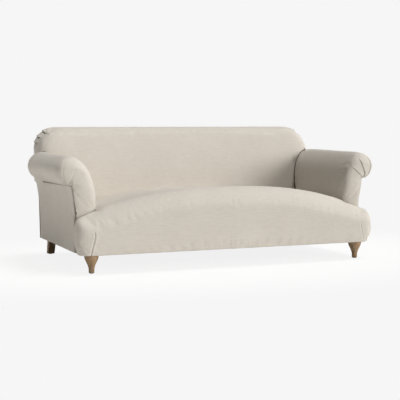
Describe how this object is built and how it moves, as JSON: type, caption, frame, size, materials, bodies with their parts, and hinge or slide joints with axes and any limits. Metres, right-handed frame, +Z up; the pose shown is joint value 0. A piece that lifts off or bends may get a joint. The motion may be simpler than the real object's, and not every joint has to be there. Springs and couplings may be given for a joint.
{
  "type": "english roll arm sofa",
  "caption": "Low upholstered sofa with pleated roll arms, a fixed domed seat, a tight arched back and short wooden legs, for two or three people to sit on.",
  "frame": {"origin": "on the floor under the middle of the sofa", "axes": "+X along the sofa, to the right of someone who faces it; the front faces -Y; +Z is up"},
  "size_m": [2.18, 1.0698, 0.86],
  "materials": {
    "beech_frame": "planed, unfinished",
    "birch_plywood": "sanded, unfinished",
    "black_dust_cloth": "thin non-woven",
    "felt_pad": "needled felt",
    "hardboard": "pressed board",
    "jute_webbing": "woven jute",
    "linen_cover": "woven linen blend, matt",
    "nylon_glide": "moulded nylon",
    "oak_leg": "weathered oak, matt",
    "polyester_wadding": "soft non-woven",
    "upholstery_foam": "open cell foam, matt",
    "zinc_steel": "zinc plated"
  },
  "bodies": {
    "root": {"back_cover": "linen_cover", "back_crest_board": "birch_plywood", "back_foam": "upholstery_foam", "back_lower_rail": "beech_frame", "back_ribs": "birch_plywood", "back_top_rail": "beech_frame", "back_wadding": "polyester_wadding", "back_webbing_across": "jute_webbing", "back_webbing_upright": "jute_webbing", "corner_blocks": "beech_frame", "dust_cloth": "black_dust_cloth", "frame_dowels": "beech_frame", "frame_screws": "zinc_steel", "front_left_leg": "oak_leg", "front_right_leg": "oak_leg", "front_seat_rail": "beech_frame", "left_arm_cover": "linen_cover", "left_arm_foam": "upholstery_foam", "left_arm_front_board": "birch_plywood", "left_arm_liner": "hardboard", "left_arm_lower_rail": "beech_frame", "left_arm_rear_board": "birch_plywood", "left_arm_top_rail": "beech_frame", "left_arm_wadding": "polyester_wadding", "left_back_post": "birch_plywood", "left_outside_arm_board": "hardboard", "left_outside_arm_cover": "linen_cover", "left_seat_rail": "beech_frame", "leg_bolts": "zinc_steel", "leg_glides": "nylon_glide", "leg_plates": "zinc_steel", "outside_back_board": "hardboard", "outside_back_cover": "linen_cover", "outside_wadding": "polyester_wadding", "rear_left_leg": "oak_leg", "rear_right_leg": "oak_leg", "rear_seat_rail": "beech_frame", "right_arm_cover": "linen_cover", "right_arm_foam": "upholstery_foam", "right_arm_front_board": "birch_plywood", "right_arm_liner": "hardboard", "right_arm_lower_rail": "beech_frame", "right_arm_rear_board": "birch_plywood", "right_arm_top_rail": "beech_frame", "right_arm_wadding": "polyester_wadding", "right_back_post": "birch_plywood", "right_outside_arm_board": "hardboard", "right_outside_arm_cover": "linen_cover", "right_seat_rail": "beech_frame", "seat_cover": "linen_cover", "seat_edge_foam": "upholstery_foam", "seat_foam_dome": "upholstery_foam", "seat_foam_slab": "upholstery_foam", "seat_springs": "zinc_steel", "seat_stretchers": "beech_frame", "seat_wadding": "polyester_wadding", "spring_clips": "zinc_steel", "spring_pad": "felt_pad", "spring_rail": "beech_frame", "spring_tie_wires": "zinc_steel"}
  },
  "joints": []
}
